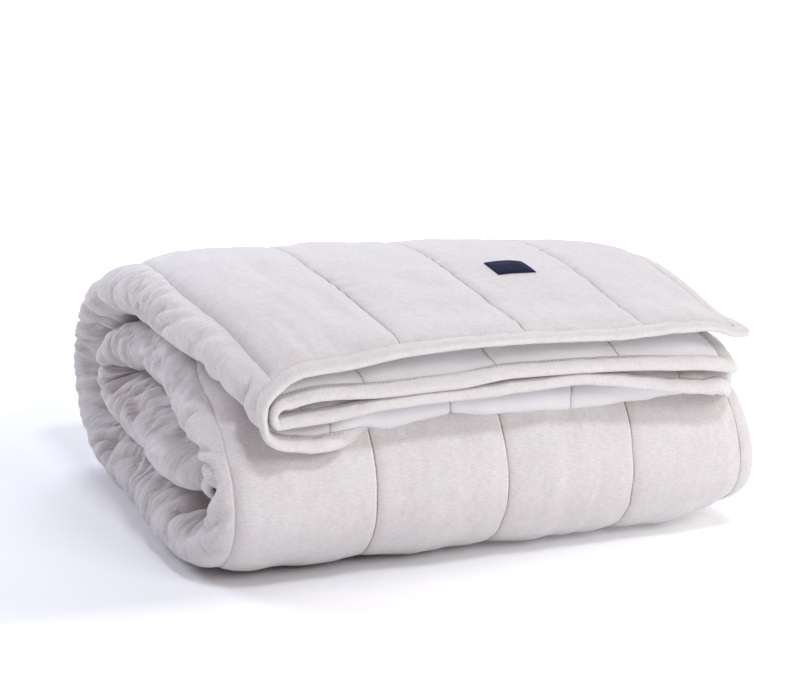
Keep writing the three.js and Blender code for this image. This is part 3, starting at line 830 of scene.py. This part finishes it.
# Camera, at the height and side of the picture of the real thing. Its focal length, and how far
# its aim lies to the right of and below the middle, are in points of a picture 800 wide.
CAMERA_FOCAL = 1700.0
CAMERA_WIDTH = 800.0
AIM_RIGHT, AIM_BELOW = 110, 137
SENSOR = 36.0
turn, rise = np.radians(-20.0), np.radians(13.0)
back = np.array([np.sin(turn) * np.cos(rise), -np.cos(turn) * np.cos(rise), np.sin(rise)])
right = np.cross([0, 0, 1], back)
right /= np.linalg.norm(right)
up = np.cross(back, right)
aim = np.array([-2 * CHANNEL - CENTRE[0], -CENTRE[1], 0.0838])
distance = 1.666
place = aim + back * distance
place -= right * (AIM_RIGHT / CAMERA_FOCAL * distance)
place += up * (AIM_BELOW / CAMERA_FOCAL * distance)
camera_data = bpy.data.cameras.new("camera")
camera_data.sensor_width = SENSOR
camera_data.lens = CAMERA_FOCAL / CAMERA_WIDTH * SENSOR
camera = bpy.data.objects.new("camera", camera_data)
bpy.context.scene.collection.objects.link(camera)
camera.matrix_world = Matrix([[right[i], up[i], back[i], place[i]] for i in range(3)] + [[0, 0, 0, 1]])
bpy.context.scene.camera = camera

# Floor and light. A wide sheet of studio paper that glows with painted light a step away from the
# comforter, so that it stays white but keeps the comforter's shadow on its left, with a strip of
# painted light just in front of it, and soft lamps round it.
PAPER_REACH = 60
PAPER_COLOUR = (0.86, 0.87, 0.89, 1)
UNLIT, LIT = (0.0, 0.0, 0.0, 1), (1.0, 1.0, 1.02, 1)
floor_corners = [(x * PAPER_REACH, y * PAPER_REACH, 0) for x, y in ((-1, -1), (1, -1), (1, 1), (-1, 1))]
floor_mesh = bpy.data.meshes.new("floor")
floor_mesh.from_pydata(floor_corners, [], [(0, 1, 2, 3)])
floor = add_object("floor", floor_mesh)
paper = Shader("studio_paper")
spot = paper.node("ShaderNodeTexCoord", {}, out=3)
# The painted glow is none close to the comforter and grows with the distance from a place left of its
# middle, where its shadow falls.
from_shade = paper.node("ShaderNodeVectorMath", {"operation": "SUBTRACT"}, spot, (-0.29, 0.12, 0.0))
stretched = paper.stretch(from_shade, 3.1, 3.3)
from_middle = paper.node("ShaderNodeVectorMath", {"operation": "LENGTH"}, stretched, out=1)
painted_glow = paper.spread(from_middle, 1.2, 3.2, 0.0, 0.47) + paper.spread(from_middle, 4.0, 14.0, 0.0, 0.5)
forward = paper.node("ShaderNodeSeparateXYZ", {}, spot, out=1)
# A strip of painted light on the paper just in front of the comforter's bottom edge.
painted_glow = painted_glow + paper.spread(forward, -0.240, -0.30, 0.0, 0.14)
paper.set(Base_Color=PAPER_COLOUR, Roughness=0.9, Emission_Strength=1.0,
          Emission_Color=paper.mix(painted_glow, UNLIT, LIT))
floor_mesh.materials.append(paper.material)

world = bpy.data.worlds.new("studio")
bpy.context.scene.world = world
world.use_nodes = True
backdrop = world.node_tree.nodes["Background"]
backdrop.inputs["Color"].default_value = (1.0, 0.83, 0.85, 1)
backdrop.inputs["Strength"].default_value = 0.285


def softbox(name, place, size, energy, colour):
    """Square lamp that looks at the middle of the folded comforter."""
    data = bpy.data.lights.new(name, "AREA")
    data.size, data.energy, data.color = size, energy, colour
    lamp = bpy.data.objects.new(name, data)
    bpy.context.scene.collection.objects.link(lamp)
    lamp.location = place
    lamp.rotation_euler = (Vector((0, 0, 0.12)) - lamp.location).to_track_quat("-Z", "Y").to_euler()


softbox("front", (1.0, -2.4, 1.6), 1.0, 27.0, (0.98, 0.965, 0.965))
softbox("right", (2.6, -0.4, 1.2), 1.4, 16.5, (1.0, 0.95, 0.89))
softbox("top_front", (0.1, -1.6, 2.5), 0.38, 27.0, (0.88, 0.94, 1.0))
softbox("left_back", (-1.8, 1.6, 1.8), 1.2, 39.0, (0.82, 0.86, 1.0))
softbox("back", (0.4, 2.4, 1.6), 1.6, 43.0, (0.80, 0.90, 1.0))
bpy.context.scene.view_settings.view_transform = "Standard"
